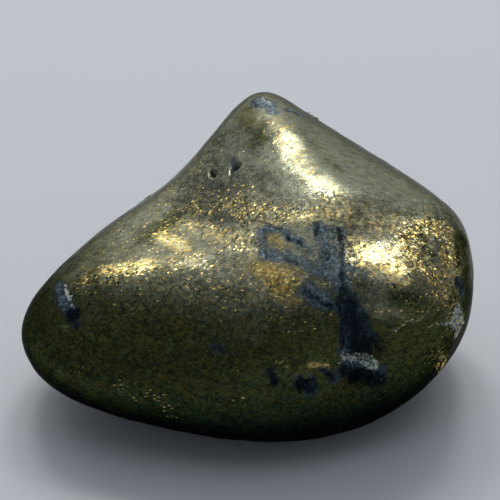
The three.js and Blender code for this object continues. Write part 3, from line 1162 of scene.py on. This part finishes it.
def add_height_markings(marks, points):
    """Adds the markings that follow the height above the floor."""
    height = points[:, 2]
    marks["free"] = smooth_step(height, *FREE_FADE)
    for name in ("coarse", "crust"):
        marks[name] *= marks["free"]
    # Painted shade: the metal is darkened low on the stone, reaching higher towards the front.
    tarnish = 1 - smooth_step(height + PAINTED_SHADE_SLOPE * points[:, 1], *PAINTED_SHADE_FADE)
    marks["tarnish"] = np.maximum(marks["tarnish"] * PATINA_AND_SHADE_SHARE, tarnish)
    # Painted shade: darker towards the bottom, near-black at the foot.
    marks["low"] = 1 - smooth_step(height, *LOW_FADE)
    # Painted highlight: a band of brighter sparkle where the highlights fall.
    band = smooth_step(height, *BAND_FADE_IN) * (1 - smooth_step(height, *BAND_FADE_OUT))
    marks["glitter"] = np.maximum(marks["glitter"], BAND_HIGHLIGHT * band)


def stone_mesh():
    """The stone's surface with its pits, crusts and markings, in metres in the frame."""
    rays, quads = cube_sphere(GRID)
    points = pebble_points(rays)
    tree = BVHTree.FromPolygons(points.tolist(), quads.tolist())
    wandering = warped(points)
    marks = {name: marking(tree, wandering, name) for name in STROKES}
    add_hidden_markings(marks, wandering, rays)
    points = points + rays * relief_height(marks, wandering)[:, None]
    add_height_markings(marks, points)
    points[:, 2] = np.maximum(points[:, 2], 0)
    mesh = bpy.data.meshes.new("stone form")
    mesh.from_pydata(((points + stone_shift()) * MM).tolist(), [], quads.tolist())
    mesh.polygons.foreach_set("use_smooth", np.ones(len(quads), bool))
    for name, values in marks.items():
        mesh.attributes.new(name, "FLOAT", "POINT").data.foreach_set("value", values.astype(np.float32))
    mesh.update()
    return mesh


class STONE_OT_surface(bpy.types.Operator):
    """Builds the stone's surface with its relief and markings"""

    bl_idname = "stone.surface"
    bl_label = "Stone surface"

    def execute(self, context):
        settings = context.scene.stone
        sizes = settings.sizes
        form = stone_mesh()
        tree = relief_tree(stone_material(settings.colours))
        values = {
            "Ripple height": sizes.ripple_height,
            "Ripple width": sizes.ripple_width,
            "Coarse height": sizes.coarse_height,
            "Coarse width": sizes.coarse_width,
        }
        stone = evaluated_copy(form, tree, values, "stone_surface")
        attach(stone, NODE)
        return {"FINISHED"}


class STONE_OT_grains(bpy.types.Operator):
    """Sets gold grains into the coarse patches and pale crumbs into the crusts"""

    bl_idname = "stone.grains"
    bl_label = "Grains and crumbs"

    def execute(self, context):
        settings = context.scene.stone
        sizes = settings.sizes
        surface = bpy.data.objects["stone_surface"].data
        metal = grain_material(settings.colours)
        crust = crumb_material(settings.colours)
        crumb_seed = sizes.seed + CRUMB_SEED_STEP
        gold = scatter_tree("Gold grains", "coarse", metal, sizes.seed, GRAIN_TILT)
        pale = scatter_tree("Pale crumbs", "crust", crust, crumb_seed, CRUMB_TILT)
        per_m2 = 1 / MM**2
        values = {"Block size": sizes.grain_size, "Density": sizes.grains_per_mm2 * per_m2}
        attach(evaluated_copy(surface, gold, values, "gold_grains"))
        values = {"Block size": sizes.crumb_size, "Density": sizes.crumbs_per_mm2 * per_m2}
        attach(evaluated_copy(surface, pale, values, "crust_crumbs"))
        return {"FINISHED"}


# Stage

FLOOR_SIDE = 3.0

# Softboxes: azimuth, elevation, distance in millimetres, side in metres, and the setting of their power.
LIGHTS = {
    "Left lamp": (108, 62, 350.0, 0.07, "lamp_power"),
    "Right lamp": (74, 62, 350.0, 0.07, "lamp_power"),
    "Fill light": (94, 31, 700.0, 0.90, "fill_power"),
    "Top light": (90, 84, 700.0, 0.80, "top_power"),
}
WORLD_COLOUR = (0.80, 0.88, 1.0, 1.0)
WORLD_STRENGTH = 0.22


def area_light(name, azimuth, elevation, distance, side, power):
    """A square softbox that looks at the stone."""
    out = direction(azimuth, elevation)
    lamp = bpy.data.lights.new(name, "AREA")
    lamp.shape = "SQUARE"
    lamp.size = side
    lamp.energy = power
    placed = bpy.data.objects.new(name, lamp)
    placed.location = Vector(out * distance * MM)
    placed.rotation_euler = Vector(out).to_track_quat("Z", "Y").to_euler()
    bpy.context.scene.collection.objects.link(placed)


class STONE_OT_stage(bpy.types.Operator):
    """Adds the pale floor, the lights and the camera"""

    bl_idname = "stone.stage"
    bl_label = "Floor, lights and camera"

    def execute(self, context):
        settings = context.scene.stone
        self.add_floor(context, settings)
        for name, (*aim, side, power) in LIGHTS.items():
            area_light(name, *aim, side, getattr(settings, power))
        self.add_world(context)
        self.add_camera(context)
        context.scene.view_settings.view_transform = "Standard"
        return {"FINISHED"}

    def add_floor(self, context, settings):
        half = FLOOR_SIDE / 2
        corners = [(-half, -half, 0), (half, -half, 0), (half, half, 0), (-half, half, 0)]
        mesh = bpy.data.meshes.new("floor")
        mesh.from_pydata(corners, [], [(0, 1, 2, 3)])
        mesh.materials.append(floor_material(settings.colours))
        floor = bpy.data.objects.new("floor", mesh)
        context.scene.collection.objects.link(floor)

    def add_world(self, context):
        world = bpy.data.worlds.new("Studio")
        world.use_nodes = True
        background = world.node_tree.nodes["Background"]
        background.inputs["Color"].default_value = WORLD_COLOUR
        background.inputs["Strength"].default_value = WORLD_STRENGTH
        context.scene.world = world

    def add_camera(self, context):
        _, _, back = camera_axes()
        data = bpy.data.cameras.new("Camera")
        data.sensor_width = SENSOR_WIDTH
        data.lens = SENSOR_WIDTH * CAMERA_DISTANCE / (PHOTO_PIXELS * PHOTO_MM_PER_PIXEL)
        data.clip_start, data.clip_end = CLIP
        camera = bpy.data.objects.new("Camera", data)
        camera.location = Vector((CAMERA_TARGET + back * CAMERA_DISTANCE + stone_shift()) * MM)
        camera.rotation_euler = (math.radians(90 - CAMERA_ELEVATION), 0, 0)
        context.scene.collection.objects.link(camera)
        context.scene.camera = camera


class STONE_PT_panel(bpy.types.Panel):
    """Lists the stone's settings and the steps that build it"""

    bl_idname = "STONE_PT_panel"
    bl_label = "Tumbled stone"
    bl_space_type = "VIEW_3D"
    bl_region_type = "UI"
    bl_category = "Stone"

    def draw(self, context):
        settings = context.scene.stone
        for group in (settings.sizes, settings.colours):
            box = self.layout.box()
            for name in group.__annotations__:
                box.prop(group, name)
        for power in ("lamp_power", "fill_power", "top_power"):
            self.layout.prop(settings, power)
        for step in STEPS:
            self.layout.operator("stone." + step)


STEPS = ("surface", "grains", "stage")
CLASSES = (
    StoneSizes,
    StoneColours,
    StoneSettings,
    STONE_OT_surface,
    STONE_OT_grains,
    STONE_OT_stage,
    STONE_PT_panel,
)


def register():
    for item in CLASSES:
        bpy.utils.register_class(item)
    bpy.types.Scene.stone = bpy.props.PointerProperty(type=StoneSettings)


def unregister():
    del bpy.types.Scene.stone
    for item in reversed(CLASSES):
        bpy.utils.unregister_class(item)


def main():
    register()
    for step in STEPS:
        getattr(bpy.ops.stone, step)()


if __name__ == "__main__":
    main()
